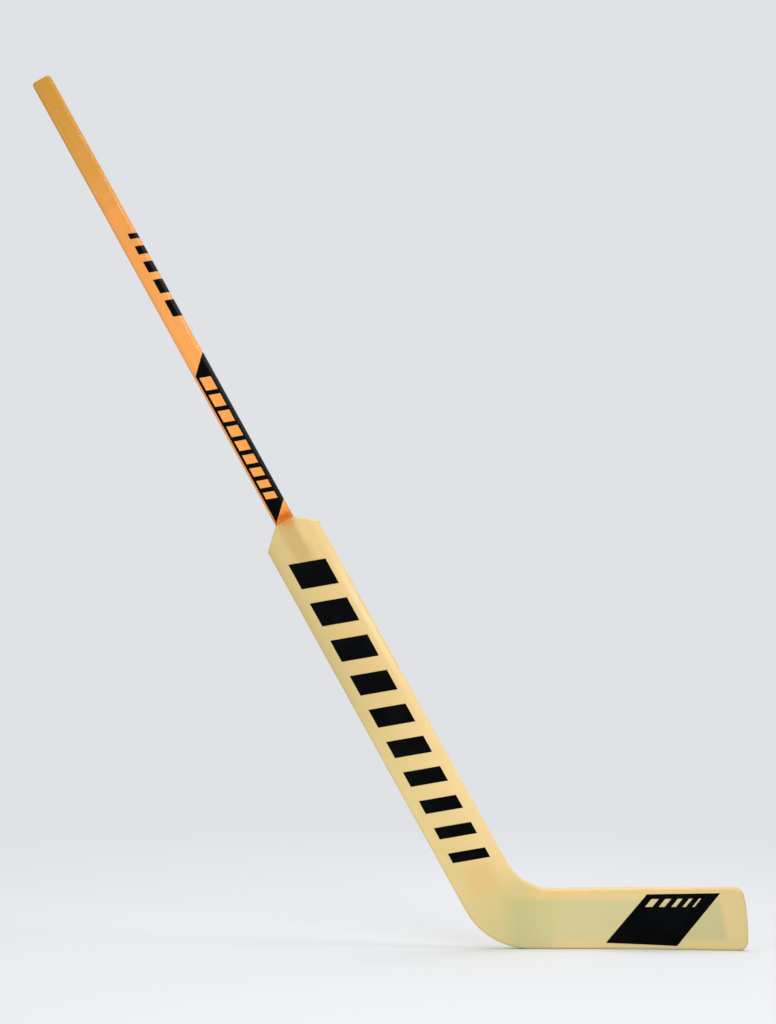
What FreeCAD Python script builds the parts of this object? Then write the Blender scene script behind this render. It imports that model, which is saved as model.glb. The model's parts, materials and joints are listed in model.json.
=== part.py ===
"""Foam-core hockey goalie stick.

The row origin is the centre of the neck, where the shaft meets the paddle.  +X runs along the
blade to the toe, +Y is the back of the stick and +Z is up from the ice.  The shaft leans back over
the heel, so the straight parts are drawn upright about the neck and tilted as a whole, and the
heel and blade are drawn about the centre of the heel's inner bend.
"""
import FreeCAD
import Part
import math
import operator
import os
import Sketcher

# Named sizes in millimetres and degrees
SIZES = {
    "lie_angle": 61.1,
    "shaft_length": 737,
    "shaft_width": 29.5,
    "shaft_thickness": 20,
    "shaft_corner": 5.5,
    "veneer": 1,
    "skin": 1,
    "glue_line": 0.1,
    "paddle_straight": 591,
    "paddle_width": 87,
    "leading_shoulder": 22.5,
    "trailing_shoulder": 28,
    "shoulder_round": 2,
    "ramp_height": 2,
    "ramp_length": 70,
    "ramp_hollow": 40,
    "crown_width": 13,
    "crown_radius": 38,
    "edge_round": 4,
    "rail_width": 10,
    "heel_inner_radius": 76,
    "heel_outer_radius": 108,
    "blade_height": 88,
    "blade_reach": 284,
    "blade_flare": 4.4,
    "curve_middle": 100,
    "curve_run": 60,
    "toe_sweep": 24,
    "toe_thickness": 10.5,
    "toe_radius": 290,
    "toe_crest": 21,
    "toe_top_corner": 15,
    "toe_sole_corner": 13,
    "heel_joint": 50,
    "top_strip": 16,
    "sole_strip": 15,
    "toe_insert": 33,
    "stringer_tongue": 36,
    "blade_tongue": 25,
    "blade_tongue_thickness": 5,
}
PLY_NAMES = ("outer_front_ply", "inner_front_ply", "centre_ply", "inner_back_ply", "outer_back_ply")
PADDLE_SIDES = (("leading", 1), ("trailing", -1))

# Share of a round that a flat bevel touching its middle takes off each side, share of a piece that a
# cut runs past it, and shares of a unit normal by which a face looks front or back, or straight along
# a given line
BEVEL_SHARE = 2 - math.sqrt(2)
OVERRUN_SHARE = 0.1
FACING_SHARE = 0.5
ALONG_SHARE = 0.9999

# Distance within which two places are one
TOLERANCE = 1e-6

doc = FreeCAD.newDocument("goalie_stick")
sheet = doc.addObject("Spreadsheet::Sheet", "Sizes")
for row, (alias, number) in enumerate(SIZES.items(), start=1):
    sheet.set(f"A{row}", alias)
    sheet.set(f"B{row}", str(number))
    sheet.setAlias(f"B{row}", alias)
doc.recompute()


# Sizes that carry both their number and the sheet expression they come from
def joined(sign, work):
    def operate(left, right):
        left, right = as_size(left), as_size(right)
        return Size(work(left.number, right.number), f"({left.text} {sign} {right.text})")
    return operate


class Size:
    def __init__(self, number, text):
        self.number = number
        self.text = text

    def __neg__(self):
        return self * -1

    def __radd__(self, other):
        return as_size(other) + self

    def __rsub__(self, other):
        return as_size(other) - self

    def __rmul__(self, other):
        return as_size(other) * self

    __add__ = joined("+", operator.add)
    __sub__ = joined("-", operator.sub)
    __mul__ = joined("*", operator.mul)
    __truediv__ = joined("/", operator.truediv)


def as_size(value):
    return value if isinstance(value, Size) else Size(float(value), f"({float(value)})")


def size(alias):
    return Size(float(sheet.get(alias)), f"Sizes.{alias}")


def root(value):
    return Size(math.sqrt(value.number), f"sqrt({value.text})")


def leg(hypotenuse, other):
    return root(hypotenuse * hypotenuse - other * other)


def hypotenuse_of(one, other):
    return root(one * one + other * other)


def bind(target, **sizes):
    for name, value in sizes.items():
        target.setExpression(name.replace("__", "."), as_size(value).text)


# A length past every piece, for cuts that are open on that side
beyond = size("shaft_length") + size("paddle_straight") + size("blade_reach")

# Frames of the straight parts and of the heel and blade
tilt = 90 - size("lie_angle")
tilt_cos = Size(math.cos(math.radians(tilt.number)), f"cos({tilt.text})")
tilt_sin = Size(math.sin(math.radians(tilt.number)), f"sin({tilt.text})")


def tilted(x, y, z):
    return x * tilt_cos - z * tilt_sin, as_size(y), x * tilt_sin + z * tilt_cos


def lean(target, x=0, y=0, z=0):
    x, y, z = tilted(as_size(x), y, as_size(z))
    target.Placement = FreeCAD.Placement(
        FreeCAD.Vector(), FreeCAD.Rotation(FreeCAD.Vector(0, -1, 0), tilt.number))
    bind(target, Placement__Rotation__Angle=tilt, Placement__Base__x=x, Placement__Base__y=y,
         Placement__Base__z=z)


paddle_half = size("paddle_width") / 2
heel_inner = size("heel_inner_radius")
heel_back = heel_inner + size("paddle_width")
heel_sole = heel_inner + size("blade_height")
heel_centre = tilted(paddle_half + heel_inner, 0, -size("paddle_straight"))


def at_heel(target, x=0, y=0, z=0):
    bind(target, Placement__Base__x=heel_centre[0] + x, Placement__Base__y=heel_centre[1] + y,
         Placement__Base__z=heel_centre[2] + z)


# Sketches, solids and booleans
def new_body(name, place):
    body = doc.addObject("PartDesign::Body", name)
    place(body)
    return body


def new_sketch(body, name, role, offset=0):
    sketch = body.newObject("Sketcher::SketchObject", name)
    plane = next(feature for feature in body.Origin.OriginFeatures if feature.Role == role)
    sketch.AttachmentSupport = [(plane, "")]
    sketch.MapMode = "FlatFace"
    bind(sketch, AttachmentOffset__Base__z=offset)
    return sketch


def vector(point):
    return FreeCAD.Vector(as_size(point[0]).number, as_size(point[1]).number, 0)


def draw(sketch, start, steps):
    """Closes an outline of lines (end) and arcs (end, centre, radius) with every size bound."""
    constraints = []
    bound = []
    ends = []
    here = start
    for there, *bend in steps:
        if bend:
            centre, radius = vector(bend[0]), as_size(bend[1])
            spokes = vector(here) - centre, vector(there) - centre
            first, last = (1, 2) if spokes[0].cross(spokes[1]).z > 0 else (2, 1)
            angles = [math.atan2(spoke.y, spoke.x) for spoke in spokes]
            circle = Part.Circle(centre, FreeCAD.Vector(0, 0, 1), radius.number)
            curve = sketch.addGeometry(
                Part.ArcOfCircle(circle, angles[first - 1], angles[last - 1]))
            constraints.append(Sketcher.Constraint("Radius", curve, radius.number))
            bound.append(radius)
        else:
            first, last = 1, 2
            curve = sketch.addGeometry(Part.LineSegment(vector(here), vector(there)))
        for kind, value in zip(("DistanceX", "DistanceY"), there):
            constraints.append(
                Sketcher.Constraint(kind, -1, 1, curve, last, as_size(value).number))
            bound.append(value)
        ends.append((curve, first, last))
        here = there
    places = sketch.addConstraint(constraints)
    sketch.addConstraint([
        Sketcher.Constraint("Coincident", one[0], one[2], other[0], other[1])
        for one, other in zip(ends, ends[1:] + ends[:1])])
    for place, value in zip(places, bound):
        bind(sketch, **{f"Constraints[{place}]": value})
    return sketch


def polygon(sketch, *points):
    return draw(sketch, points[-1], [(point,) for point in points])


def pad(body, name, sketch, length, midplane=False):
    feature = body.newObject("PartDesign::Pad", name)
    feature.Profile = sketch
    feature.Midplane = midplane
    bind(feature, Length=length)
    sketch.Visibility = False
    return feature


def pocket(body, name, sketch):
    feature = body.newObject("PartDesign::Pocket", name)
    feature.Profile = sketch
    feature.Type = "ThroughAll"
    feature.Midplane = True
    sketch.Visibility = False
    return feature


def loft(body, name, sketches):
    feature = body.newObject("PartDesign::AdditiveLoft", name)
    feature.Profile = sketches[0]
    feature.Sections = sketches[1:]
    feature.Ruled = True
    return feature


def dress_edges(body, kind, name, base, wanted, **sizes):
    doc.recompute()
    edges = [f"Edge{number}" for number, edge in enumerate(base.Shape.Edges, start=1)
             if wanted(base.Shape, edge)]
    feature = body.newObject(f"PartDesign::{kind}", name)
    feature.Base = (base, edges)
    bind(feature, **sizes)
    return feature


def slab(name, place, **limits):
    """A block between the limits given along x, y and z, and open past every piece elsewhere."""
    limits = [limits.get(axis, (-beyond, beyond)) for axis in "xyz"]
    solid = doc.addObject("Part::Box", name)
    place(solid, *(low for low, high in limits))
    length, width, height = (high - low for low, high in limits)
    bind(solid, Length=length, Width=width, Height=height)
    return solid


def loosened(limits, gap):
    return {axis: (low - gap, high + gap) for axis, (low, high) in limits.items()}


def common(name, base, tool):
    solid = doc.addObject("Part::Common", name)
    solid.Base, solid.Tool = base, tool
    return solid


def cut(name, base, tool):
    solid = doc.addObject("Part::Cut", name)
    solid.Base, solid.Tool = base, tool
    return solid


def fuse(name, *pieces):
    solid = doc.addObject("Part::MultiFuse", name)
    solid.Shapes = list(pieces)
    solid.Refine = True
    return solid


def face_normals(shape, edge):
    middle = edge.valueAt((edge.FirstParameter + edge.LastParameter) / 2)
    return [face.normalAt(*face.Surface.parameter(middle))
            for face in shape.ancestorsOfType(edge, Part.Face)]


# Shaft blank with its long corners and its butt rounded alike
shaft_half = size("shaft_width") / 2
shaft_deep = size("shaft_thickness") / 2
corner = size("shaft_corner")
shaft_blank = new_body("shaft_blank", lean)
shaft_section = polygon(
    new_sketch(shaft_blank, "shaft_section", "XY_Plane"),
    *((shaft_half * sign_x, shaft_deep * sign_y)
      for sign_x, sign_y in ((1, 1), (-1, 1), (-1, -1), (1, -1))))
shaft_bar = pad(shaft_blank, "shaft_bar", shaft_section, size("shaft_length"))
dress_edges(shaft_blank, "Fillet", "shaft_rounding", shaft_bar,
            lambda shape, edge: edge.CenterOfMass.z > TOLERANCE, Radius=corner)

# Paddle blank: a slab with crowned edges, a ramp down from the shaft and sloping shoulders
paddle_deep = shaft_deep - size("ramp_height")
edge_round = size("edge_round")
ramp_flat = shaft_half - corner
ramp_bend = corner + size("ramp_hollow")
ramp_rise = ramp_bend - size("ramp_height")
ramp_run = leg(ramp_bend, ramp_rise)
crown_start = paddle_half - size("crown_width")
crown_reach = size("crown_radius") - edge_round
crown_run = size("crown_width") - edge_round
crown_rise = leg(crown_reach, crown_run)
shoulder_run = paddle_half - shaft_half


def paddle_quarter(inset, ramp, crown):
    """Outline of one quarter of the slab, from the ramp's flat top out to the edge wall."""
    level = paddle_deep - inset
    convex = corner - inset
    hollow_x = ramp_flat + ramp_run
    turn_x = ramp_flat + convex * ramp_run / ramp_bend
    if ramp:
        top_centre = (ramp_flat, shaft_deep - corner)
        turn = (turn_x, top_centre[1] + convex * ramp_rise / ramp_bend)
        hollow = size("ramp_hollow")
        start = (ramp_flat, shaft_deep - inset)
        steps = [(turn, top_centre, convex),
                 ((hollow_x, level), (hollow_x, paddle_deep + hollow), hollow + inset)]
    else:
        start = (ramp_flat, level)
        steps = [((turn_x, level),), ((hollow_x, level),)]
    steps.append(((crown_start, level),))
    edge_x = paddle_half - edge_round
    if crown:
        centre_y = paddle_deep - size("crown_radius")
        radius = size("crown_radius") - inset
        edge_y = centre_y + crown_rise
        turn = (crown_start + radius * crown_run / crown_reach,
                centre_y + radius * crown_rise / crown_reach)
        steps.append((turn, (crown_start, centre_y), radius))
    else:
        edge_y = paddle_deep - edge_round
        steps.append(((edge_x, level),))
    steps.append(((paddle_half - inset, edge_y), (edge_x, edge_y), edge_round - inset))
    return start, steps


def paddle_section(sketch, inset, ramp, crown):
    start, steps = paddle_quarter(inset, ramp, crown)
    outward = [(start,)] + steps
    corners = [step[0] for step in outward]
    inward = [(corners[-1],)] + [
        (point, *step[1:]) for point, step in zip(corners[-2::-1], steps[::-1])]
    loop = []
    for sign_x, sign_y, path in ((1, 1, outward), (1, -1, inward), (-1, -1, outward), (-1, 1, inward)):
        for there, *bend in path:
            step = [(there[0] * sign_x, there[1] * sign_y)]
            if bend:
                step += [(bend[0][0] * sign_x, bend[0][1] * sign_y), bend[1]]
            loop.append(step)
    return draw(sketch, loop[-1][0], loop)


def shoulder_line(side, inset):
    """Drop beside the shaft, and slope, of the line that runs inside a shoulder at a given inset."""
    height = size(f"{side}_shoulder")
    return inset * hypotenuse_of(shoulder_run, height) / shoulder_run, height / shoulder_run


def paddle_body(name, inset):
    body = new_body(name, lean)
    stations = (("neck", 0, True, True), ("ramp_end", -size("ramp_length"), False, True),
                ("heel_end", -size("paddle_straight"), False, False))
    sections = [
        paddle_section(new_sketch(body, f"{name}_{station}", "XY_Plane", z), inset, ramp, crown)
        for station, z, ramp, crown in stations]
    blank = loft(body, f"{name}_slab", sections)
    over = shoulder_run * OVERRUN_SHARE
    outer_x = paddle_half + over
    for side, sign in PADDLE_SIDES:
        drop, slope = shoulder_line(side, inset)
        top_x = shaft_half - (over + drop) / slope
        outer_z = over - (outer_x - top_x) * slope
        sketch = new_sketch(body, f"{name}_{side}_waste", "XZ_Plane")
        polygon(sketch, (top_x * sign, over), (outer_x * sign, over), (outer_x * sign, outer_z))
        blank = pocket(body, f"{name}_{side}_shoulder", sketch)
    return body, blank


def on_shoulder(shape, edge):
    slopes = [FreeCAD.Vector(size(f"{side}_shoulder").number * sign, 0, shoulder_run.number).normalize()
              for side, sign in PADDLE_SIDES]
    along = [normal.dot(slope) for normal in face_normals(shape, edge) for slope in slopes]
    return max(along) > ALONG_SHARE and edge.CenterOfMass.z < -TOLERANCE


paddle_outer, paddle_cut = paddle_body("paddle_outer", as_size(0))
dress_edges(paddle_outer, "Fillet", "shoulder_rounding", paddle_cut, on_shoulder,
            Radius=size("shoulder_round"))
paddle_inner, _ = paddle_body("paddle_inner", size("skin"))

# Heel and blade blank: one outline, cut to its curved and tapering plan, with rounded rims
flare_length = hypotenuse_of(size("blade_flare"), size("blade_reach"))
flare_cos = size("blade_reach") / flare_length
flare_sin = size("blade_flare") / flare_length
toe_centre = (size("blade_reach") - size("toe_radius"), size("toe_crest") - heel_sole)


def blade_outline(sketch, inset):
    inner = heel_inner + inset
    back = heel_back - inset
    sole = heel_sole - inset
    heel_round = size("heel_outer_radius")
    heel_up = heel_round - heel_sole
    heel_round_centre = ((heel_round - heel_back - heel_up * tilt_sin) / tilt_cos, heel_up)
    outer = heel_round - inset
    toe = size("toe_radius")
    sole_corner = size("toe_sole_corner")
    top_corner = size("toe_top_corner")
    sole_z = sole_corner - heel_sole
    sole_centre = (toe_centre[0] + leg(toe - sole_corner, toe_centre[1] - sole_z), sole_z)
    toe_up = toe_centre[1] * flare_cos - toe_centre[0] * flare_sin
    toe_along = toe_centre[0] * flare_cos + toe_centre[1] * flare_sin
    top_up = -heel_inner - top_corner
    top_along = toe_along + leg(toe - top_corner, top_up - toe_up)
    top_centre = (top_along * flare_cos - top_up * flare_sin,
                  top_along * flare_sin + top_up * flare_cos)

    def toe_point(corner_centre, corner_radius):
        share = (toe - inset) / (toe - corner_radius)
        return tuple(here + (there - here) * share for here, there in zip(toe_centre, corner_centre))

    bend = (0, 0)
    top_round = top_corner - inset
    start = (-inner * tilt_cos, -inner * tilt_sin)
    return draw(sketch, start, [
        ((-back * tilt_cos, -back * tilt_sin),),
        ((heel_round_centre[0] - outer * tilt_cos, heel_round_centre[1] - outer * tilt_sin),),
        ((heel_round_centre[0], -sole), heel_round_centre, outer),
        ((sole_centre[0], -sole),),
        (toe_point(sole_centre, sole_corner), sole_centre, sole_corner - inset),
        (toe_point(top_centre, top_corner), toe_centre, toe - inset),
        ((top_centre[0] - top_round * flare_sin, top_centre[1] + top_round * flare_cos),
         top_centre, top_round),
        ((inner * flare_sin, -inner * flare_cos),),
        (start, bend, inner)])


def plan_side(sketch, level, sweep, offset, far):
    """Region between the plan curve, level and then bent forward to the toe, and a far line."""
    straight = size("blade_reach") - size("curve_middle")
    slant = hypotenuse_of(straight, sweep)
    radius = size("curve_run") * (slant + straight) / sweep
    centre = (size("curve_middle") - size("curve_run"), level - radius)
    radius = radius + offset
    bent = (centre[0] + radius * sweep / slant, centre[1] + radius * straight / slant)
    far_x = size("blade_reach") + size("blade_reach") * OVERRUN_SHARE
    start = (-beyond, centre[1] + radius)
    return draw(sketch, start, [
        ((centre[0], centre[1] + radius),),
        (bent, centre, radius),
        ((far_x, bent[1] - (far_x - bent[0]) * sweep / straight),),
        ((far_x, far),),
        ((-beyond, far),),
        (start,)])


taper = paddle_deep - size("toe_thickness") / 2


def on_rim(shape, edge):
    start = FreeCAD.Vector(-tilt_sin.number, 0, tilt_cos.number)
    normals = face_normals(shape, edge)
    facing = [abs(normal.y) for normal in normals]
    joint = max(normal.dot(start) for normal in normals)
    return min(facing) < FACING_SHARE < max(facing) and joint < ALONG_SHARE


def blade_body(name, inset, rim, **rim_sizes):
    body = new_body(name, at_heel)
    outline = blade_outline(new_sketch(body, f"{name}_outline", "XZ_Plane"), inset)
    pad(body, f"{name}_plate", outline, (size("toe_sweep") + size("shaft_thickness")) * 2, midplane=True)
    front = plan_side(new_sketch(body, f"{name}_front_plan", "XY_Plane"), -paddle_deep,
                      size("toe_sweep") - taper, inset, -beyond)
    pocket(body, f"{name}_front", front)
    back = plan_side(new_sketch(body, f"{name}_back_plan", "XY_Plane"), paddle_deep,
                     size("toe_sweep") + taper, -inset, beyond)
    plate = pocket(body, f"{name}_back", back)
    dress_edges(body, rim, f"{name}_rim", plate, on_rim, **rim_sizes)
    return body


blade_outer = blade_body("blade_outer", as_size(0), "Fillet", Radius=edge_round)
blade_inner = blade_body("blade_inner", size("skin"), "Chamfer",
                         Size=(edge_round - size("skin")) * BEVEL_SHARE)

# Skins, split front and back along the middle of the thickness
nodes = []
paddle_shell = cut("paddle_shell", paddle_outer, paddle_inner)
paddle_front = slab("paddle_front", lean, y=(-beyond, as_size(0)))
nodes.append(common("paddle_front_skin", paddle_shell, paddle_front))
nodes.append(cut("paddle_back_skin", paddle_shell, paddle_front))

blade_shell = cut("blade_shell", blade_outer, blade_inner)
blade_front = new_body("blade_front", at_heel)
blade_middle = plan_side(new_sketch(blade_front, "blade_middle", "XY_Plane"), as_size(0),
                         size("toe_sweep"), as_size(0), -beyond)
pad(blade_front, "blade_front_side", blade_middle, beyond, midplane=True)
nodes.append(common("blade_front_skin", blade_shell, blade_front))
nodes.append(cut("blade_back_skin", blade_shell, blade_front))

# Shaft veneers, and the five plies between them, which run on down the paddle as its stringer
ply_span = shaft_deep - size("veneer")
ply = ply_span * 2 / len(PLY_NAMES)
paddle_end = -size("paddle_straight")
stringer = (-shaft_half, shaft_half)
stringer_tongue = {"x": stringer, "y": (-ply / 2, ply / 2),
                   "z": (paddle_end - size("stringer_tongue"), paddle_end)}

for name, layer in (("shaft_front_veneer", (-shaft_deep, -ply_span)),
                    ("shaft_back_veneer", (ply_span, shaft_deep))):
    nodes.append(common(name, shaft_blank, slab(f"{name}_layer", lean, y=layer)))

for place, name in enumerate(PLY_NAMES):
    low = ply * place - ply_span
    high = low + ply
    shaft_piece = common(f"{name}_shaft", shaft_blank, slab(f"{name}_layer", lean, y=(low, high)))
    low = low if place else -beyond
    high = high if name != PLY_NAMES[-1] else beyond
    stringer_piece = common(f"{name}_stringer", paddle_inner,
                            slab(f"{name}_slab", lean, x=stringer, y=(low, high)))
    pieces = [shaft_piece, stringer_piece]
    if name == "centre_ply":
        pieces.append(slab(f"{name}_tongue", lean, **stringer_tongue))
    nodes.append(fuse(name, *pieces))

# Foam panels of the paddle and the rails round them
rail_x = paddle_half - size("skin") - size("rail_width")
for side, sign in PADDLE_SIDES:
    rail_drop, rail_slope = shoulder_line(side, size("skin") + size("rail_width"))
    panel = new_body(f"{side}_panel", lean)
    panel_outline = polygon(
        new_sketch(panel, f"{side}_panel_outline", "XZ_Plane"),
        (shaft_half * sign, paddle_end), (rail_x * sign, paddle_end),
        (rail_x * sign, -rail_drop - (rail_x - shaft_half) * rail_slope),
        (shaft_half * sign, -rail_drop))
    pad(panel, f"{side}_panel_block", panel_outline, size("shaft_thickness"), midplane=True)
    nodes.append(common(f"paddle_{side}_foam", paddle_inner, panel))
    edge_limits = (shaft_half, beyond) if sign > 0 else (-beyond, -shaft_half)
    edge_board = common(f"{side}_edge_board", paddle_inner, slab(f"{side}_half", lean, x=edge_limits))
    nodes.append(cut(f"paddle_{side}_rail", edge_board, panel))

# Heel block, mortised for the stringer's tongue and tongued into the blade
joint_x = -size("heel_joint")
core_low = size("sole_strip") - heel_sole
core_high = -heel_inner - size("top_strip")
tongue_half = size("blade_tongue_thickness") / 2
blade_tongue = {"x": (joint_x, joint_x + size("blade_tongue")), "y": (-tongue_half, tongue_half),
                "z": (core_low + tongue_half, core_high - tongue_half)}
mortise = slab("heel_mortise", lean, **loosened(stringer_tongue, size("glue_line")))
heel_part = common("heel_part", blade_inner, slab("heel_zone", at_heel, x=(-beyond, joint_x)))
heel_mortised = cut("heel_mortised", heel_part, mortise)
nodes.append(fuse("heel_block", heel_mortised, slab("heel_tongue", at_heel, **blade_tongue)))

# Blade core: foam between a top strip and a sole strip, closed by a toe insert
toe_x = size("blade_reach") - size("toe_insert")
core_x = (joint_x, toe_x)
groove = slab("core_groove", at_heel, **loosened(blade_tongue, size("glue_line")))
core = common("blade_core", blade_inner, slab("core_zone", at_heel, x=core_x, z=(core_low, core_high)))
nodes.append(cut("blade_foam_core", core, groove))
for name, limits in (("blade_top_strip", {"x": core_x, "z": (core_high, beyond)}),
                     ("blade_sole_strip", {"x": core_x, "z": (-beyond, core_low)}),
                     ("blade_toe_insert", {"x": (toe_x, beyond)})):
    nodes.append(common(name, blade_inner, slab(f"{name}_zone", at_heel, **limits)))

# Check and write every piece
doc.recompute()
for item in doc.Objects:
    if {"Invalid", "Error"} & set(item.State):
        raise RuntimeError(f"{item.Label} did not build: {item.State}")
os.makedirs("parts", exist_ok=True)
for node in nodes:
    if node.Shape.isNull() or not node.Shape.isValid() or len(node.Shape.Solids) != 1:
        raise RuntimeError(f"{node.Label} is not one valid solid")
    node.Shape.exportStep(f"parts/{node.Label}.step")
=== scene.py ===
import json
import math

import bpy
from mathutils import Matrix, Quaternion, Vector
from mathutils.bvhtree import BVHTree


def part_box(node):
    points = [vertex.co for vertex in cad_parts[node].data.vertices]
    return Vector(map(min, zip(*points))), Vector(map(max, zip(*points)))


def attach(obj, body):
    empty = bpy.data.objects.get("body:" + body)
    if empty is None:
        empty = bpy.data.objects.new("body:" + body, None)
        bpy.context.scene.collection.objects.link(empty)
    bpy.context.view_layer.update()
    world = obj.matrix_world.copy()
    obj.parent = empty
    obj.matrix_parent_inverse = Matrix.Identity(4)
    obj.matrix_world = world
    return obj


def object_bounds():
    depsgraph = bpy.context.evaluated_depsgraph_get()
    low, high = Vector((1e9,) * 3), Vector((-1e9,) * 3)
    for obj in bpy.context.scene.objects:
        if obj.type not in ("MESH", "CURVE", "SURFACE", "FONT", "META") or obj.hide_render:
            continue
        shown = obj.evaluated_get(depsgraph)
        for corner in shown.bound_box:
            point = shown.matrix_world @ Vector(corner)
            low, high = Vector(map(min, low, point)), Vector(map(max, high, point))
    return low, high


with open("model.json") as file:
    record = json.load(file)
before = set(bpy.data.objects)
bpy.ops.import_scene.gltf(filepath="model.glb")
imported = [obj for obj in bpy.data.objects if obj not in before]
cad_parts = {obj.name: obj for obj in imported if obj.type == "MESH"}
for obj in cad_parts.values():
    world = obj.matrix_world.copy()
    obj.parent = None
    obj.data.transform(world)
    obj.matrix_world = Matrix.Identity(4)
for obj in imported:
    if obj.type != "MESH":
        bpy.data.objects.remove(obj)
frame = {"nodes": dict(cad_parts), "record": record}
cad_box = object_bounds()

# The stringer: five hardwood plies glued face to face, one length from the butt to the heel.
# They are planed to the shaft's section, so their edges show as fine lines along its narrow
# sides and round the butt, all under the same sprayed orange lacquer.
mounts = {mount["name"]: mount for mount in frame["record"]["mounts"]}
up_shaft = Vector(mounts["hand_grip"]["axis"])
SHAFT_LEAN = math.atan2(-up_shaft.x, up_shaft.z)


def connect(tree, node, inputs):
    """Feeds a node's inputs, each with a plain value or from another node's socket."""
    for key, value in inputs.items():
        if isinstance(value, bpy.types.NodeSocket):
            tree.links.new(value, node.inputs[key])
        else:
            node.inputs[key].default_value = value


def place(tree, kind, inputs=None, **settings):
    """Adds one shader node, with its options set and its inputs fed."""
    node = tree.nodes.new("ShaderNode" + kind)
    for name, value in settings.items():
        setattr(node, name, value)
    connect(tree, node, inputs or {})
    return node


def own_place(tree):
    """Where a point of a piece lies, in the frame that all pieces share."""
    return place(tree, "TexCoord").outputs["Object"]


def new_group(name, inputs, outputs):
    """An empty node group whose sockets are named with their kinds, and its two ends."""
    tree = bpy.data.node_groups.new(name, "ShaderNodeTree")
    for label, kind in inputs.items():
        tree.interface.new_socket(label, in_out="INPUT", socket_type="NodeSocket" + kind)
    for label, kind in outputs.items():
        tree.interface.new_socket(label, in_out="OUTPUT", socket_type="NodeSocket" + kind)
    return tree, tree.nodes.new("NodeGroupInput").outputs, tree.nodes.new("NodeGroupOutput")


stick_axes, _, axes_end = new_group("stick_axes", {}, {
    "Across": "Float", "Depth": "Float", "Along": "Float", "Place": "Vector"})
turned = place(stick_axes, "VectorRotate", {"Vector": own_place(stick_axes), "Angle": SHAFT_LEAN},
               rotation_type="Y_AXIS").outputs[0]
turned_across, turned_depth, turned_along = place(stick_axes, "SeparateXYZ", {0: turned}).outputs
connect(stick_axes, axes_end, {
    "Across": turned_across, "Depth": turned_depth, "Along": turned_along, "Place": turned})


def eased(tree, value, low, high):
    """Zero at low and one at high, with a soft step between them; low may be the larger of the two."""
    inputs = {"Value": value, "From Min": low, "From Max": high}
    return place(tree, "MapRange", inputs, interpolation_type="SMOOTHSTEP").outputs[0]


def noise(tree, where, scale, **inputs):
    """Soft random patches, about as many to the metre as scale says."""
    return place(tree, "TexNoise", {"Vector": where, "Scale": scale, **inputs}).outputs[0]


GRAIN_STRETCH = (1.0, 1.0, 0.02)
FIGURE_SCALE = 190.0
FIGURE_DETAIL = 3.0
FIGURE_WANDER = 0.5
FIGURE_LIMITS = (0.34, 0.70)
PORE_SCALE = 1100.0
PORE_DETAIL = 2.0
PORE_LIMITS = (0.50, 0.72)
timber_grain, grain_in, grain_end = new_group("timber_grain", {"Place": "Vector"}, {
    "Figure": "Float", "Pores": "Float"})
drawn_out = place(timber_grain, "VectorMath", {0: grain_in["Place"], 1: GRAIN_STRETCH},
                  operation="MULTIPLY").outputs[0]
figure = noise(timber_grain, drawn_out, FIGURE_SCALE, Detail=FIGURE_DETAIL, Distortion=FIGURE_WANDER)
pores = noise(timber_grain, drawn_out, PORE_SCALE, Detail=PORE_DETAIL)
connect(timber_grain, grain_end, {
    "Figure": eased(timber_grain, figure, *FIGURE_LIMITS),
    "Pores": eased(timber_grain, pores, *PORE_LIMITS)})


def maths(tree, operation, first, second=0.0):
    """One step of arithmetic, on one value or on two."""
    return place(tree, "Math", {0: first, 1: second}, operation=operation).outputs[0]


def product(tree, *values):
    """All the values multiplied together."""
    total = values[0]
    for value in values[1:]:
        total = maths(tree, "MULTIPLY", total, value)
    return total


SMEAR_SCALE = 22.0
SMEAR_DETAIL = 5.0
SMEAR_ROUGHNESS = 0.62
SMEAR_LIMITS = (0.42, 0.75)
SMEAR_DULLS = 0.14
SPECK_SCALE = 1400.0
SPECK_DULLS = 0.05
handling, handling_in, handling_end = new_group("handling_marks", {"Place": "Vector", "Clean": "Float"}, {
    "Roughness": "Float", "Haze": "Float"})
smears = noise(handling, handling_in["Place"], SMEAR_SCALE, Detail=SMEAR_DETAIL,
               Roughness=SMEAR_ROUGHNESS)
specks = noise(handling, handling_in["Place"], SPECK_SCALE)
haze = eased(handling, smears, *SMEAR_LIMITS)
dulled = maths(handling, "ADD", product(handling, haze, SMEAR_DULLS),
               product(handling, specks, SPECK_DULLS))
connect(handling, handling_end, {
    "Roughness": maths(handling, "ADD", handling_in["Clean"], dulled), "Haze": haze})


def tint(red, green, blue):
    """A paint colour as it looks on a screen, from 0 to 255, turned into Blender's linear light."""
    def linear(level):
        share = level / 255
        return share / 12.92 if share <= 0.04045 else ((share + 0.055) / 1.055) ** 2.4
    return (linear(red), linear(green), linear(blue), 1.0)


def toned(tree, value, stops):
    """A colour that runs through the stops, each keyed by the value where it holds."""
    low = min(stops)
    high = max(stops)
    share = place(tree, "MapRange", {"Value": value, "From Min": low, "From Max": high}).outputs[0]
    ramp = place(tree, "ValToRGB", {0: share})
    elements = ramp.color_ramp.elements
    for count, stop in enumerate(sorted(stops)):
        position = (stop - low) / (high - low)
        if 0 < count < len(stops) - 1:
            elements.new(position)
        elements[count].position = position
        elements[count].color = tint(*stops[stop])
    return ramp.outputs[0]


def mixed(tree, share, under, over):
    """One colour laid over another; sockets 6, 7 and 2 are the ones that the Mix node uses for colours."""
    inputs = {0: share, 6: under, 7: over}
    return place(tree, "Mix", inputs, data_type="RGBA").outputs[2]


def apart(tree, value, middle=0.0):
    """How far a value is from the middle, on either side of it."""
    return maths(tree, "ABSOLUTE", maths(tree, "SUBTRACT", value, middle))


def use_group(tree, group, **inputs):
    """Places a node group with its own values, and gives what it puts out."""
    node = tree.nodes.new("ShaderNodeGroup")
    node.node_tree = group
    connect(tree, node, inputs)
    return node.outputs


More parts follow.
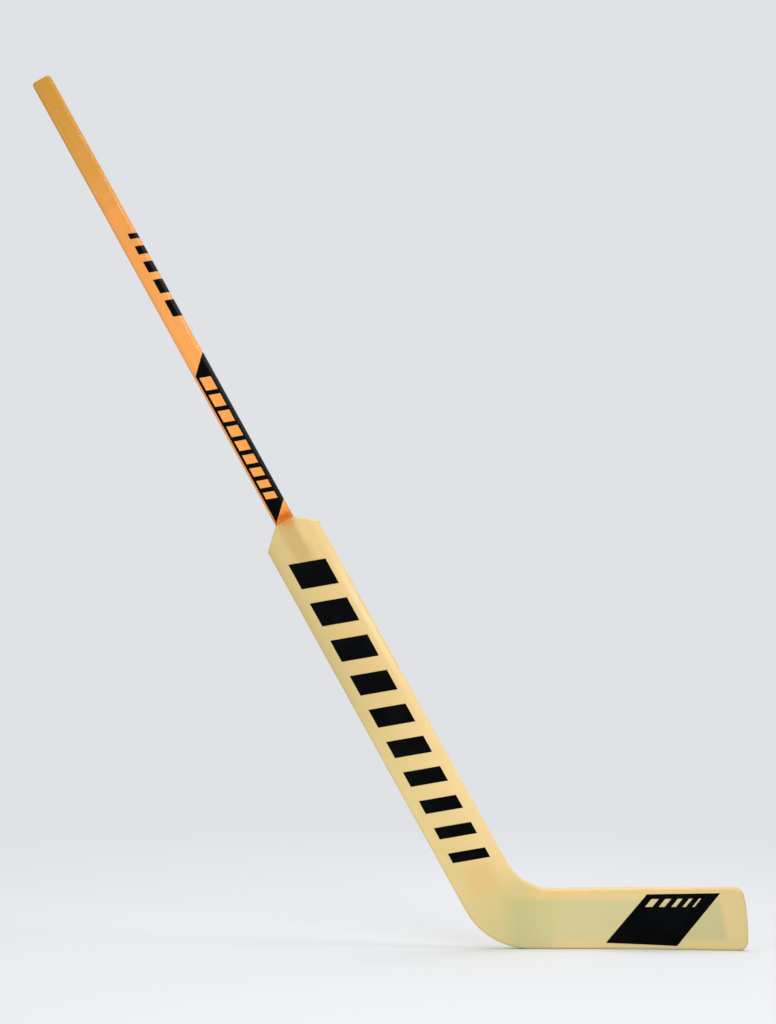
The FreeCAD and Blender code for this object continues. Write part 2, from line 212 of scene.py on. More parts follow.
SHAFT_LENGTH = Vector(mounts["butt_end"]["pos_m"]).length
LACQUER_STOPS = {
    SHAFT_LENGTH: (193, 139, 52),
    0.640: (206, 147, 60),
    0.585: (213, 148, 62),
    0.530: (230, 154, 74),
    0.440: (237, 156, 74),
    0.340: (244, 162, 80),
    0.100: (244, 160, 74),
    0.020: (241, 157, 74),
    0.000: (205, 120, 32),
}
STAIN_SCALE = 34.0
STAIN_DETAIL = 1.5
STAIN_LIMITS = (0.42, 0.64)
STAIN_START = 0.420
STAIN_FULL = 0.600
STAIN_SHOW = 0.55
STAIN_COLOUR = (204, 145, 42)
# Painted shade: a dark orange band across the shaft just above the neck, where it meets the paddle.
NECK_SHADE_HEIGHT = 0.0065
NECK_SHADE_SPREAD = 0.0085
NECK_MIDDLE_ACROSS = 0.003
NECK_SHADE_HALF_WIDTH = 0.012
NECK_SHADE_COLOUR = (212, 98, 0)
lacquer_tone, _, lacquer_end = new_group("lacquer_tone", {}, {"Color": "Color"})
lacquer_axes = use_group(lacquer_tone, stick_axes)
sprayed = toned(lacquer_tone, lacquer_axes["Along"], LACQUER_STOPS)
stain_clouds = noise(lacquer_tone, lacquer_axes["Place"], STAIN_SCALE, Detail=STAIN_DETAIL)
stain = product(
    lacquer_tone, eased(lacquer_tone, stain_clouds, *STAIN_LIMITS),
    eased(lacquer_tone, lacquer_axes["Along"], STAIN_START, STAIN_FULL), STAIN_SHOW)
soaked = mixed(lacquer_tone, stain, sprayed, tint(*STAIN_COLOUR))
neck_shade_offset = apart(lacquer_tone, lacquer_axes["Along"], NECK_SHADE_HEIGHT)
neck_shade_side = apart(lacquer_tone, lacquer_axes["Across"], NECK_MIDDLE_ACROSS)
neck_painted_shade = product(
    lacquer_tone, eased(lacquer_tone, neck_shade_offset, NECK_SHADE_SPREAD, 0.0),
    eased(lacquer_tone, neck_shade_side, NECK_SHADE_HALF_WIDTH, NECK_SHADE_HALF_WIDTH / 2))
connect(lacquer_tone, lacquer_end, {"Color": mixed(lacquer_tone, neck_painted_shade, soaked, tint(*NECK_SHADE_COLOUR))})


def bumped(tree, height, strength, depth):
    """A surface direction that follows a height, for a shader's Normal."""
    return place(tree, "Bump", {"Height": height, "Strength": strength, "Distance": depth}).outputs[0]


def new_finish(name):
    """A material with its Principled shader, ready for the nodes that feed it."""
    material = bpy.data.materials.new(name)
    material.use_nodes = True
    tree = material.node_tree
    return material, tree, tree.nodes["Principled BSDF"]


LACQUER_ROUGHNESS = 0.26
LACQUER_SPECULAR = 0.08
LACQUER_COAT = 0.50
LACQUER_COAT_ROUGHNESS = 0.20
NECK_COAT = 0.04
NECK_WORN = 0.016
NECK_GLOSSY = 0.045
PLY_COLOUR = (150, 84, 26)
PALE_PLY_SHADE = 0.10
DEEP_PLY_SHADE = 0.30
FIGURE_SHOW = 0.08
FIGURE_COLOUR = (178, 104, 38)
PORE_SHOW = 0.10
PORE_COLOUR = (150, 84, 28)
PORE_BUMP = 0.04
PORE_DEPTH = 0.0001


def timber_finish(name, shade):
    """Lacquered timber: the sprayed lacquer, deepened by the ply's own shade and by the wood's figure."""
    material, tree, shader = new_finish(name)
    axes = use_group(tree, stick_axes)
    grain = use_group(tree, timber_grain, Place=axes["Place"])
    marks = use_group(tree, handling, Place=axes["Place"], Clean=LACQUER_ROUGHNESS)
    lacquer = use_group(tree, lacquer_tone)["Color"]
    shaded = mixed(tree, shade, lacquer, tint(*PLY_COLOUR))
    figured = mixed(tree, product(tree, grain["Figure"], FIGURE_SHOW), shaded, tint(*FIGURE_COLOUR))
    veined = mixed(tree, product(tree, grain["Pores"], PORE_SHOW), figured, tint(*PORE_COLOUR))
    worn = product(tree, eased(tree, axes["Along"], NECK_GLOSSY, NECK_WORN), LACQUER_COAT - NECK_COAT)
    connect(tree, shader, {
        "Base Color": veined,
        "Roughness": marks["Roughness"],
        "Specular IOR Level": LACQUER_SPECULAR,
        "Coat Weight": maths(tree, "SUBTRACT", LACQUER_COAT, worn),
        "Coat Roughness": LACQUER_COAT_ROUGHNESS,
        "Normal": bumped(tree, grain["Pores"], PORE_BUMP, PORE_DEPTH)})
    return material


def dress(material, *names):
    """Puts one finish on every material slot of the named pieces."""
    for name in names:
        for slot in frame["nodes"][name].material_slots:
            slot.material = material


dress(timber_finish("ply_pale", PALE_PLY_SHADE), "outer_front_ply", "centre_ply", "outer_back_ply")
dress(timber_finish("ply_deep", DEEP_PLY_SHADE), "inner_front_ply", "inner_back_ply")

# The face veneers: a thin slice of clear wood on the front and back of the shaft, pressed on with
# the plies. The lacquer over them is amber at the butt, brighter in the middle of the shaft, and
# has a dark orange band of painted shade just above the paddle, where the shaft meets it.
VENEER_SHADE = 0.0
dress(timber_finish("face_veneer", VENEER_SHADE), "shaft_front_veneer", "shaft_back_veneer")

# The paddle's inside: rigid foam panels beside the stringer and pale timber rails along the
# edges, glued in place. The skins close over them, so none of it shows on a whole stick.
FOAM_SCALE = 900.0
FOAM_LIMITS = (0.1, 0.7)
FOAM_CELL_COLOUR = (186, 190, 150)
FOAM_WALL_COLOUR = (214, 214, 176)
FOAM_ROUGHNESS = 0.85
FOAM_BUMP = 0.4
FOAM_DEPTH = 0.0006
foam_finish, foam_tree, foam_shader = new_finish("rigid_foam")
foam_cells = place(foam_tree, "TexVoronoi", {
    "Vector": own_place(foam_tree), "Scale": FOAM_SCALE}).outputs["Distance"]
foam_walls = eased(foam_tree, foam_cells, *FOAM_LIMITS)
connect(foam_tree, foam_shader, {
    "Base Color": mixed(foam_tree, foam_walls, tint(*FOAM_CELL_COLOUR), tint(*FOAM_WALL_COLOUR)),
    "Roughness": FOAM_ROUGHNESS,
    "Normal": bumped(foam_tree, foam_cells, FOAM_BUMP, FOAM_DEPTH)})
dress(foam_finish, "paddle_leading_foam", "paddle_trailing_foam")

BARE_PALE_COLOUR = (226, 198, 150)
BARE_DEEP_COLOUR = (196, 158, 104)
BARE_ROUGHNESS = 0.7
BARE_BUMP = 0.2
BARE_DEPTH = 0.0004
bare_timber, bare_tree, bare_shader = new_finish("bare_timber")
bare_axes = use_group(bare_tree, stick_axes)
bare_grain = use_group(bare_tree, timber_grain, Place=bare_axes["Place"])
connect(bare_tree, bare_shader, {
    "Base Color": mixed(bare_tree, bare_grain["Figure"], tint(*BARE_PALE_COLOUR), tint(*BARE_DEEP_COLOUR)),
    "Roughness": BARE_ROUGHNESS,
    "Normal": bumped(bare_tree, bare_grain["Pores"], BARE_BUMP, BARE_DEPTH)})
dress(bare_timber, "paddle_leading_rail", "paddle_trailing_rail")

# The heel block and the blade's inside: a shaped timber block takes the stringer's tongue, timber
# strips edge the foam core, and a tough moulded insert closes the toe. All of it is glued up
# before the skins go on.
dress(bare_timber, "heel_block", "blade_top_strip", "blade_sole_strip")
dress(foam_finish, "blade_foam_core")

TOE_SCALE = 240.0
TOE_DETAIL = 4.0
TOE_DEEP_COLOUR = (200, 182, 132)
TOE_PALE_COLOUR = (224, 206, 160)
TOE_ROUGHNESS = 0.5
toe_plastic, toe_tree, toe_shader = new_finish("toe_plastic")
toe_mottle = noise(toe_tree, own_place(toe_tree), TOE_SCALE, Detail=TOE_DETAIL)
connect(toe_tree, toe_shader, {
    "Base Color": mixed(toe_tree, toe_mottle, tint(*TOE_DEEP_COLOUR), tint(*TOE_PALE_COLOUR)),
    "Roughness": TOE_ROUGHNESS})
dress(toe_plastic, "blade_toe_insert")

# The skins: resin-soaked glass cloth pressed over the paddle, heel and blade, lacquered clear, with
# a fine seam where front meets back. They are a little see-through, so the foam core, the strips and
# the stringer's tongue tint them from inside, and hands have dulled the lacquer below the neck.
# Painted light and shade are laid into the paddle's colour as well: darker on the left, lighter on the
# right and further down, painted shade on the ramp below the neck, and a painted shadow along the
# joint with the shaft.
# Painted light and shade on the paddle: its cream is darker on the left side, lighter on the right side
# and lighter further down.
PADDLE_BLEND = (-0.20, -0.46)
HEEL_BLEND = (-0.585, -0.645)
UPPER_PADDLE_TONE_AND_SHADE = {
    -0.0435: (202, 180, 120),
    -0.0300: (207, 185, 125),
    0.0000: (220, 189, 122),
    0.0300: (228, 198, 133),
    0.0435: (231, 201, 137),
}
LOWER_PADDLE_TONE_AND_SHADE = {
    -0.0435: (228, 203, 138),
    -0.0300: (224, 200, 134),
    0.0000: (231, 203, 138),
    0.0300: (240, 210, 146),
    0.0435: (242, 212, 148),
}
HEEL_TO_TOE_STOPS = {
    0.270: (222, 200, 136),
    0.318: (212, 195, 130),
    0.345: (218, 196, 130),
    0.375: (231, 202, 133),
    0.440: (233, 203, 139),
    0.560: (230, 201, 139),
    0.675: (220, 194, 134),
}
resin_tone, _, resin_end = new_group("resin_tone", {}, {"Color": "Color"})
resin_axes = use_group(resin_tone, stick_axes)
resin_place = own_place(resin_tone)
resin_x, _, resin_z = place(resin_tone, "SeparateXYZ", {0: resin_place}).outputs
paddle_tone_and_shade = mixed(
    resin_tone, eased(resin_tone, resin_axes["Along"], *PADDLE_BLEND),
    toned(resin_tone, resin_axes["Across"], UPPER_PADDLE_TONE_AND_SHADE),
    toned(resin_tone, resin_axes["Across"], LOWER_PADDLE_TONE_AND_SHADE))
blade_tone = toned(resin_tone, resin_x, HEEL_TO_TOE_STOPS)
cream = mixed(resin_tone, eased(resin_tone, resin_axes["Along"], *HEEL_BLEND), paddle_tone_and_shade, blade_tone)

core_low, core_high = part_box("blade_foam_core")
CORE_SOFTNESS = 0.006
SOLE_BORDER_START = 0.392
SOLE_SHOW = 0.35
SOLE_COLOUR = (204, 196, 140)
over_sole_strip = product(
    resin_tone,
    eased(resin_tone, resin_z, core_low.z + CORE_SOFTNESS, core_low.z - CORE_SOFTNESS),
    eased(resin_tone, resin_x, SOLE_BORDER_START - CORE_SOFTNESS, SOLE_BORDER_START + CORE_SOFTNESS))
bordered = mixed(resin_tone, product(resin_tone, over_sole_strip, SOLE_SHOW), cream, tint(*SOLE_COLOUR))

CORE_HEEL_FADE = 0.030
CORE_TOE_LEVEL = -0.594
CORE_TOE_SLANT = 0.18
CORE_SHOW = 0.80
CORE_STOPS = {
    0.335: (190, 190, 131),
    0.365: (193, 192, 135),
    0.400: (203, 199, 146),
    0.520: (202, 198, 145),
    0.600: (189, 187, 137),
}
above_toe_level = maths(resin_tone, "SUBTRACT", resin_z, CORE_TOE_LEVEL)
toward_toe = maths(resin_tone, "ADD", resin_x, product(resin_tone, above_toe_level, CORE_TOE_SLANT))
over_core = product(
    resin_tone, maths(resin_tone, "SUBTRACT", 1.0, over_sole_strip),
    eased(resin_tone, resin_x, core_low.x - CORE_HEEL_FADE, core_low.x + CORE_SOFTNESS),
    eased(resin_tone, toward_toe, core_high.x + CORE_SOFTNESS, core_high.x - CORE_SOFTNESS),
    eased(resin_tone, resin_z, core_high.z + CORE_SOFTNESS, core_high.z - CORE_SOFTNESS))
core_tone = toned(resin_tone, resin_x, CORE_STOPS)
cored = mixed(resin_tone, product(resin_tone, over_core, CORE_SHOW), bordered, core_tone)

# Painted shade on the ramp below the neck, where the face slopes down from the shaft to the paddle.
RAMP_SHADE_END = -0.100
RAMP_SHADE_HALF_WIDTH = 0.020
RAMP_SHADE_SHOW = 0.90
RAMP_SHADE_COLOUR = (197, 169, 106)
from_middle = apart(resin_tone, resin_axes["Across"])
ramp_shade = product(
    resin_tone, eased(resin_tone, resin_axes["Along"], RAMP_SHADE_END, RAMP_SHADE_END / 2),
    eased(resin_tone, from_middle, RAMP_SHADE_HALF_WIDTH, RAMP_SHADE_HALF_WIDTH / 4))
ramp_shaded = mixed(resin_tone, product(resin_tone, ramp_shade, RAMP_SHADE_SHOW), cored, tint(*RAMP_SHADE_COLOUR))

TONGUE_MIDDLE = -0.594
TONGUE_REACH = 0.038
TONGUE_HALF_WIDTH = 0.033
TONGUE_SHOW = 0.55
TONGUE_COLOUR = (222, 184, 110)
tongue_offset = apart(resin_tone, resin_axes["Along"], TONGUE_MIDDLE)
over_tongue = product(
    resin_tone, eased(resin_tone, tongue_offset, TONGUE_REACH, TONGUE_REACH / 4),
    eased(resin_tone, from_middle, TONGUE_HALF_WIDTH, TONGUE_HALF_WIDTH / 4))
warmed = mixed(resin_tone, product(resin_tone, over_tongue, TONGUE_SHOW), ramp_shaded, tint(*TONGUE_COLOUR))

CLOUD_SCALE = 14.0
CLOUD_DETAIL = 4.0
CLOUD_LIMITS = (0.35, 0.7)
CLOUD_SHOW = 0.10
CLOUD_COLOUR = (206, 174, 112)
clouds = eased(resin_tone, noise(resin_tone, resin_place, CLOUD_SCALE, Detail=CLOUD_DETAIL), *CLOUD_LIMITS)
clouded = mixed(resin_tone, product(resin_tone, clouds, CLOUD_SHOW), warmed, tint(*CLOUD_COLOUR))

BEND_START = 0.430
BEND_END = 0.550
BEND_SLOPE = 0.130
SEAM_HALF_WIDTH = 0.0004
SEAM_SHOW = 0.45
SEAM_COLOUR = (168, 132, 78)
bend_run = maths(resin_tone, "MAXIMUM", maths(resin_tone, "SUBTRACT", resin_x, BEND_START), 0.0)
bend_arc = maths(resin_tone, "MINIMUM", bend_run, BEND_END - BEND_START)
bend_rise = product(resin_tone, bend_arc, bend_arc, BEND_SLOPE / 2 / (BEND_END - BEND_START))
bend_rest = product(resin_tone, maths(resin_tone, "SUBTRACT", bend_run, bend_arc), BEND_SLOPE)
seam_offset = maths(resin_tone, "ADD", resin_axes["Depth"], maths(resin_tone, "ADD", bend_rise, bend_rest))
on_seam = eased(resin_tone, apart(resin_tone, seam_offset), SEAM_HALF_WIDTH, SEAM_HALF_WIDTH / 2)
seamed = mixed(resin_tone, product(resin_tone, on_seam, SEAM_SHOW), clouded, tint(*SEAM_COLOUR))

# Below the neck the lacquer's overspray fades into the cream; its colour is darkened as a painted shadow
# along the joint with the shaft.
FADE_TOP = 0.003
FADE_FOOT = -0.019
FADE_HALF_WIDTH = 0.016
FADE_AND_SHADOW_COLOUR = (205, 136, 68)
fade_side = apart(resin_tone, resin_axes["Across"], NECK_MIDDLE_ACROSS)
overspray_and_shadow = product(
    resin_tone, eased(resin_tone, resin_axes["Along"], FADE_FOOT, FADE_TOP),
    eased(resin_tone, fade_side, FADE_HALF_WIDTH, FADE_HALF_WIDTH / 4))
connect(resin_tone, resin_end, {"Color": mixed(resin_tone, overspray_and_shadow, seamed, tint(*FADE_AND_SHADOW_COLOUR))})

WEAVE_PITCH = 0.0016
glass_weave, weave_in, weave_end = new_group("glass_weave", {"Across": "Float", "Along": "Float"}, {
    "Height": "Float"})
threads = [
    maths(glass_weave, "SINE", product(glass_weave, weave_in[label], 2 * math.pi / WEAVE_PITCH))
    for label in ("Across", "Along")]
connect(glass_weave, weave_end, {"Height": product(glass_weave, *threads)})

SKIN_ROUGHNESS = 0.38
SKIN_SPECULAR = 0.25
SKIN_COAT = 0.32
SKIN_COAT_ROUGHNESS = 0.19
GRIP_COAT = 0.06
GRIP_END = -0.130
GRIP_REACH = 0.060
WEAVE_BUMP = 0.04
WEAVE_DEPTH = 0.00004
glass_skin, skin_tree, skin_shader = new_finish("glass_skin")
skin_axes = use_group(skin_tree, stick_axes)
skin_marks = use_group(skin_tree, handling, Place=skin_axes["Place"], Clean=SKIN_ROUGHNESS)
skin_weave = use_group(skin_tree, glass_weave, Across=skin_axes["Across"], Along=skin_axes["Along"])
held = product(
    skin_tree, eased(skin_tree, skin_axes["Along"], GRIP_END, GRIP_END / 2),
    eased(skin_tree, apart(skin_tree, skin_axes["Across"]), GRIP_REACH, GRIP_REACH * 2 / 3))
rubbed_off = product(skin_tree, held, SKIN_COAT - GRIP_COAT)
connect(skin_tree, skin_shader, {
    "Base Color": use_group(skin_tree, resin_tone)["Color"],
    "Roughness": skin_marks["Roughness"],
    "Specular IOR Level": SKIN_SPECULAR,
    "Coat Weight": maths(skin_tree, "SUBTRACT", SKIN_COAT, rubbed_off),
    "Coat Roughness": SKIN_COAT_ROUGHNESS,
    "Normal": bumped(skin_tree, skin_weave["Height"], WEAVE_BUMP, WEAVE_DEPTH)})
dress(glass_skin, "paddle_front_skin", "paddle_back_skin", "blade_front_skin", "blade_back_skin")

# The shaft's band: black printed film wrapped from the front round the right side to the back, cut
# on a slant at both ends. A row of slanted windows, shorter towards the paddle, and a fine stripe
# down the left edge leave the lacquer bare. Gloves have burnished its front right corner.
SHAFT_WIDTH = 0.0295
SHAFT_THICKNESS = 0.020
SHAFT_CORNER = 0.0055
FILM_ROUGHNESS = 0.30
FILM_SPECULAR = 0.03
FILM_COAT_ROUGHNESS = 0.24
FILM_CLEAN_COLOUR = (1, 2, 3)
FILM_HAZY_COLOUR = (7, 8, 9)
BURNISH = 0.26
black_film, film_tree, film_shader = new_finish("black_film")
film_axes = use_group(film_tree, stick_axes)
film_marks = use_group(film_tree, handling, Place=film_axes["Place"], Clean=FILM_ROUGHNESS)
corner_across = SHAFT_WIDTH / 2 - SHAFT_CORNER
corner_depth = SHAFT_CORNER - SHAFT_THICKNESS / 2
on_corner = product(
    film_tree,
    eased(film_tree, film_axes["Across"], corner_across, corner_across + SHAFT_CORNER / 2),
    eased(film_tree, film_axes["Depth"], corner_depth + SHAFT_CORNER / 2, corner_depth),
    maths(film_tree, "GREATER_THAN", film_axes["Along"], 0.0))
connect(film_tree, film_shader, {
    "Base Color": mixed(film_tree, film_marks["Haze"], tint(*FILM_CLEAN_COLOUR), tint(*FILM_HAZY_COLOUR)),
    "Roughness": film_marks["Roughness"],
    "Specular IOR Level": FILM_SPECULAR,
    "Coat Weight": product(film_tree, on_corner, BURNISH),
    "Coat Roughness": FILM_COAT_ROUGHNESS})

FILM_PROUD = 0.00008
FILM_SUNK = 0.00004
FILM_CUT_ANGLE = math.radians(40)
ROUND_STEPS = 6
QUARTER_TURN = math.pi / 2


def film_piece(name, columns, rows, surface, windows=()):
    """Closed film over a grid of points on a surface, leaving the cells in windows open.

    Its face is shaded smooth round the shaft's corners, and its cut edges stay sharp.
    """
    points = [surface(column, row) for column in columns for row in rows]
    faces = []
    for column in range(len(columns) - 1):
        for row in range(len(rows) - 1):
            if (column, row) not in windows:
                corner = column * len(rows) + row
                faces.append((corner, corner + len(rows), corner + len(rows) + 1, corner + 1))
    sheet = bpy.data.meshes.new(f"{name}_sheet")
    sheet.from_pydata(points, [], faces)
    sheet.materials.append(black_film)
    piece = bpy.data.objects.new(name, sheet)
    bpy.context.scene.collection.objects.link(piece)
    thickness = piece.modifiers.new("film_thickness", "SOLIDIFY")
    thickness.thickness = FILM_PROUD + FILM_SUNK
    thickness.offset = (FILM_PROUD - FILM_SUNK) / (FILM_PROUD + FILM_SUNK)
    thickened = piece.evaluated_get(bpy.context.evaluated_depsgraph_get())
    film = bpy.data.meshes.new_from_object(thickened)
    film.name = name
    piece.modifiers.clear()
    piece.data = film
    film.shade_smooth()
    film.set_sharp_from_angle(angle=FILM_CUT_ANGLE)
    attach(piece, "root")


def graduated(low, high, count, first, last):
    """Lower and upper ends of a row of bars from low to high, growing evenly from first to last."""
    widths = [first + (last - first) * number / (count - 1) for number in range(count)]
    gap = (high - low - sum(widths)) / (count - 1)
    bars = []
    for width in widths:
        bars.append((low, low + width))
        low += width + gap
    return bars


def on_stick(across, depth, along):
    """A point given in the shaft's own axes, in the frame that all pieces share."""
    return Vector((across * math.cos(SHAFT_LEAN) - along * math.sin(SHAFT_LEAN), depth,
                   across * math.sin(SHAFT_LEAN) + along * math.cos(SHAFT_LEAN)))


def shaft_round(angle_from, angle_to, side, face):
    """Places round one corner of the shaft's section; angles run from straight across to its face."""
    centre_across = side * (SHAFT_WIDTH / 2 - SHAFT_CORNER)
    centre_depth = face * (SHAFT_THICKNESS / 2 - SHAFT_CORNER)
    places = []
    for step in range(ROUND_STEPS + 1):
        angle = angle_from + (angle_to - angle_from) * step / ROUND_STEPS
        places.append((centre_across + side * SHAFT_CORNER * math.cos(angle),
                       centre_depth + face * SHAFT_CORNER * math.sin(angle)))
    return places


def shaft_line(where, row):
    """A point of the shaft's surface on a line that slants across it."""
    across, depth = where
    along, slant = row
    return on_stick(across, depth, along + across * slant)


BAND_STRIPE = 0.0031
BAND_LOW = 0.0150
BAND_HIGH = 0.2592
BAND_SLANT = 1.0
MOTIF_SLANT = -0.345
WINDOW_HALF_WIDTH = 0.008
WINDOW_LOW = 0.038
WINDOW_HIGH = 0.240
WINDOW_COUNT = 9
WINDOW_SHORT = 0.011
WINDOW_LONG = 0.021
stripe_angle = math.acos(1 - BAND_STRIPE / SHAFT_CORNER)
left_front = shaft_round(stripe_angle, QUARTER_TURN, -1, -1)
window_sides = [(side * WINDOW_HALF_WIDTH, -SHAFT_THICKNESS / 2) for side in (-1, 1)]
right_front = shaft_round(QUARTER_TURN, 0.0, 1, -1)
right_back = shaft_round(0.0, QUARTER_TURN, 1, 1)
left_back = shaft_round(QUARTER_TURN, stripe_angle, -1, 1)
band_columns = left_front + window_sides + right_front + right_back + left_back
window_ends = graduated(WINDOW_LOW, WINDOW_HIGH, WINDOW_COUNT, WINDOW_SHORT, WINDOW_LONG)
band_rows = [(BAND_LOW, BAND_SLANT)]
band_rows += [(end, MOTIF_SLANT) for ends in window_ends for end in ends]
band_rows += [(BAND_HIGH, BAND_SLANT)]
band_windows = {(len(left_front), 2 * number + 1) for number in range(WINDOW_COUNT)}
film_piece("shaft_band", band_columns, band_rows, shaft_line, band_windows)

# The upper shaft's blocks: a short run of black film blocks above the band, each longer than the
# one over it, laid from the right half of the front round the side to the back.
BLOCK_EDGE = 0.002
BLOCK_LOW = 0.340
BLOCK_HIGH = 0.478
BLOCK_COUNT = 5
BLOCK_LONG = 0.027
BLOCK_SHORT = 0.009
block_front = [(BLOCK_EDGE, -SHAFT_THICKNESS / 2)]
block_back = [(BLOCK_EDGE, SHAFT_THICKNESS / 2)]
block_columns = block_front + right_front + right_back + block_back
block_ends = graduated(BLOCK_LOW, BLOCK_HIGH, BLOCK_COUNT, BLOCK_LONG, BLOCK_SHORT)
for number, ends in enumerate(block_ends, start=1):
    block_rows = [(end, MOTIF_SLANT) for end in ends]
    film_piece(f"shaft_block_{number}", block_columns, block_rows, shaft_line)

# The paddle's bars: a ladder of slanted bars cut from the same black film and stuck flat down the
# middle of the front skin, broad under the shoulder and finer towards the heel.
BAR_HALF_WIDTH = 0.026
BAR_COLUMNS = 14
BAR_LOW = -0.564
BAR_HIGH = -0.067
BAR_COUNT = 10
BAR_FINE = 0.016
BAR_BROAD = 0.041
STAND_OFF = 1.0


def front_surface(name):
    """The faces of a CAD piece, for laying film on it from the front."""
    mesh = frame["nodes"][name].data
    return BVHTree.FromPolygons([vertex.co for vertex in mesh.vertices],
                                [face.vertices for face in mesh.polygons])


def laid_from_front(surface, x, z):
    """Where a point seen from straight in front lies on a surface."""
    start = Vector((x, cad_box[0].y - STAND_OFF, z))
    return surface.ray_cast(start, Vector((0.0, 1.0, 0.0)))[0]


paddle_front = front_surface("paddle_front_skin")


def paddle_line(across, row):
    """A point of the paddle's front on a line that slants across it."""
    along, slant = row
    seen = on_stick(across, 0.0, along + across * slant)
    return laid_from_front(paddle_front, seen.x, seen.z)


bar_columns = [BAR_HALF_WIDTH * (2 * step / BAR_COLUMNS - 1) for step in range(BAR_COLUMNS + 1)]
bar_ends = graduated(BAR_LOW, BAR_HIGH, BAR_COUNT, BAR_FINE, BAR_BROAD)
for number, (low, high) in enumerate(bar_ends, start=1):
    bar_rows = [(level, MOTIF_SLANT) for level in (low, (low + high) / 2, high)]
    film_piece(f"paddle_bar_{number}", bar_columns, bar_rows, paddle_line)

# The blade's panel: one slanted panel of the same black film, stuck to the front skin near the toe.
# It is trimmed just inside the blade's top edge and its sole, and a row of small windows is cut
# under its own top edge.
PANEL_TOP_LEFT = Vector((0.5278, -0.5432))
PANEL_TOP_RIGHT = Vector((0.6335, -0.5402))
PANEL_FOOT_LEFT = Vector((0.4682, -0.6144))
PANEL_FOOT_RIGHT = Vector((0.5713, -0.6180))
PANEL_COLUMNS = 24
PANEL_PLAIN_ROWS = [0.0, 0.25, 0.5]
PANEL_WINDOW_FOOT = 0.74
PANEL_WINDOW_TOP = 0.90
PANEL_WINDOW_START = 0.12
PANEL_WINDOW_END = 0.80
PANEL_WINDOW_COUNT = 5
PANEL_WINDOW_FIRST = 0.10
PANEL_WINDOW_LAST = 0.03
blade_front = front_surface("blade_front_skin")


def panel_point(share_across, share_up):
    """A point of the blade's front, given by its share of the way across and up the panel."""
    left = PANEL_FOOT_LEFT.lerp(PANEL_TOP_LEFT, share_up)
    right = PANEL_FOOT_RIGHT.lerp(PANEL_TOP_RIGHT, share_up)
    seen = left.lerp(right, share_across)
    return laid_from_front(blade_front, seen.x, seen.y)


panel_windows = graduated(PANEL_WINDOW_START, PANEL_WINDOW_END, PANEL_WINDOW_COUNT,
                          PANEL_WINDOW_FIRST, PANEL_WINDOW_LAST)
even_columns = [step / PANEL_COLUMNS for step in range(PANEL_COLUMNS + 1)]
beside_windows = [
    column for column in even_columns
    if not any(start <= column <= end for start, end in panel_windows)]
panel_columns = sorted(beside_windows + [end for ends in panel_windows for end in ends])
panel_rows = PANEL_PLAIN_ROWS + [PANEL_WINDOW_FOOT, PANEL_WINDOW_TOP, 1.0]
open_row = panel_rows.index(PANEL_WINDOW_FOOT)
open_cells = {(panel_columns.index(start), open_row) for start, _ in panel_windows}
film_piece("blade_panel", panel_columns, panel_rows, panel_point, open_cells)

# The studio floor: a pale sheet under the sole, with the stick's shadow on it. Away from the stick
# it fades into air of the same colour, so that no edge of the room shows.
SOLE_LEVEL = cad_box[0].z
FLOOR_HALF = 30.0
FLOOR_FADE_START = 0.7
FLOOR_FADE_END = 2.0
FLOOR_ROUGHNESS = 0.9
FLOOR_SPECULAR = 0.1
PALE = (224, 226, 229)
PALE_STRENGTH = 1.0
floor_corners = [(side_x * FLOOR_HALF, side_y * FLOOR_HALF, SOLE_LEVEL)
                 for side_x, side_y in ((-1, -1), (1, -1), (1, 1), (-1, 1))]
floor_mesh = bpy.data.meshes.new("studio_floor")
floor_mesh.from_pydata(floor_corners, [], [(0, 1, 2, 3)])
studio_floor = bpy.data.objects.new("studio_floor", floor_mesh)
bpy.context.scene.collection.objects.link(studio_floor)
floor_finish, floor_tree, floor_shader = new_finish("studio_floor")
floor_middle = Vector(((cad_box[0].x + cad_box[1].x) / 2, 0.0, SOLE_LEVEL))
floor_reach = place(floor_tree, "VectorMath", {0: own_place(floor_tree), 1: floor_middle},
                    operation="DISTANCE").outputs["Value"]
connect(floor_tree, floor_shader, {
    "Base Color": tint(*PALE), "Roughness": FLOOR_ROUGHNESS, "Specular IOR Level": FLOOR_SPECULAR})
far_glow = place(floor_tree, "Emission", {"Color": tint(*PALE), "Strength": PALE_STRENGTH}).outputs[0]
floor_fade = eased(floor_tree, floor_reach, FLOOR_FADE_START, FLOOR_FADE_END)
floor_mix = place(floor_tree, "MixShader", {0: floor_fade, 1: floor_shader.outputs[0], 2: far_glow})
connect(floor_tree, floor_tree.nodes["Material Output"], {"Surface": floor_mix.outputs[0]})
floor_mesh.materials.append(floor_finish)

# The studio's light: even light from pale air all round, two strip-shaped soft boxes in front, set
# square to the stick, one for the paddle and one for the shaft, and broad soft boxes high on the
# right, on the left, overhead and behind. The one behind only fills, so it leaves no glints.
AMBIENT = 0.45
WHITE = (255, 255, 255)
world = bpy.data.worlds.new("studio_air")
bpy.context.scene.world = world
world.use_nodes = True
air = world.node_tree
rays = place(air, "LightPath").outputs
seen_rays = rays["Is Camera Ray"]
for kind in ("Is Glossy Ray", "Is Transmission Ray"):
    seen_rays = maths(air, "MAXIMUM", seen_rays, rays[kind])
ambient = place(air, "Background", {"Color": tint(*WHITE), "Strength": AMBIENT}).outputs[0]
backdrop = place(air, "Background", {"Color": tint(*PALE), "Strength": PALE_STRENGTH}).outputs[0]
air_mix = place(air, "MixShader", {0: seen_rays, 1: ambient, 2: backdrop}).outputs[0]
connect(air, air.nodes["World Output"], {"Surface": air_mix})


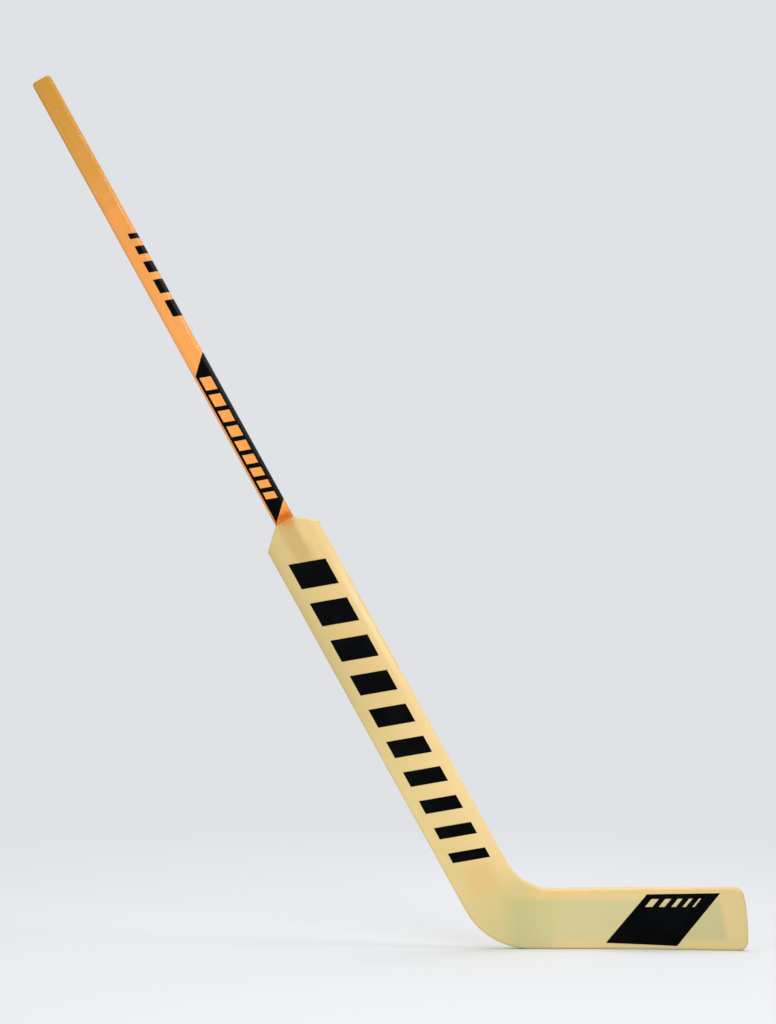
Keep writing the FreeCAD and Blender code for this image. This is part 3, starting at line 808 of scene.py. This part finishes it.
def soft_box(name, where, target, width, height, power, roll=0.0, glints=True):
    """A soft rectangular lamp aimed at a target and rolled about its aim; without glints it only fills."""
    light = bpy.data.lights.new(name, "AREA")
    light.shape = "RECTANGLE"
    light.size = width
    light.size_y = height
    light.energy = power
    lamp = bpy.data.objects.new(name, light)
    lamp.location = where
    aim = (Vector(target) - Vector(where)).to_track_quat("-Z", "Y")
    lamp.rotation_euler = (aim @ Quaternion((0.0, 0.0, 1.0), roll)).to_euler()
    lamp.visible_camera = False
    lamp.visible_glossy = glints
    bpy.context.scene.collection.objects.link(lamp)


soft_box("front_soft_box", where=(0.82, -2.9, 0.18), target=(0.15, 0.0, -0.1),
         width=0.90, height=0.14, power=12.0, roll=SHAFT_LEAN)
soft_box("shaft_soft_box", where=(0.706, -2.218, 1.109), target=(-0.193, 0.0, 0.350),
         width=1.30, height=0.44, power=15.0, roll=SHAFT_LEAN)
soft_box("right_soft_box", where=(1.79, -0.48, 1.64), target=(-0.165, 0.0, 0.326),
         width=0.80, height=0.90, power=10.0)
soft_box("left_soft_box", where=(-1.9, -2.2, 0.4), target=(0.1, 0.0, -0.1),
         width=0.7, height=2.0, power=13.0)
soft_box("top_soft_box", where=(0.2, 0.5, 2.6), target=(0.2, 0.3, 0.0),
         width=3.0, height=2.4, power=52.0)
soft_box("back_soft_box", where=(0.15, 3.0, -0.12), target=(0.15, 0.0, 0.0),
         width=3.0, height=0.8, power=26.0, glints=False)

# The camera: level with the middle of the stick and square to its front face, far enough back
# that the blade and the butt are seen alike.
PHOTO_HEIGHT_PX = 1024
METRES_PER_PX = 0.00146
CAMERA_BACK = 5.0
CAMERA_AIM_X = 0.1507
CAMERA_AIM_Z = 0.0136
camera_data = bpy.data.cameras.new("front_camera")
camera_data.lens = camera_data.sensor_width * CAMERA_BACK / (PHOTO_HEIGHT_PX * METRES_PER_PX)
front_camera = bpy.data.objects.new("front_camera", camera_data)
front_camera.location = (CAMERA_AIM_X, -CAMERA_BACK, CAMERA_AIM_Z)
front_camera.rotation_euler = (math.pi / 2, 0.0, 0.0)
bpy.context.scene.collection.objects.link(front_camera)
bpy.context.scene.camera = front_camera
bpy.context.scene.view_settings.view_transform = "Standard"
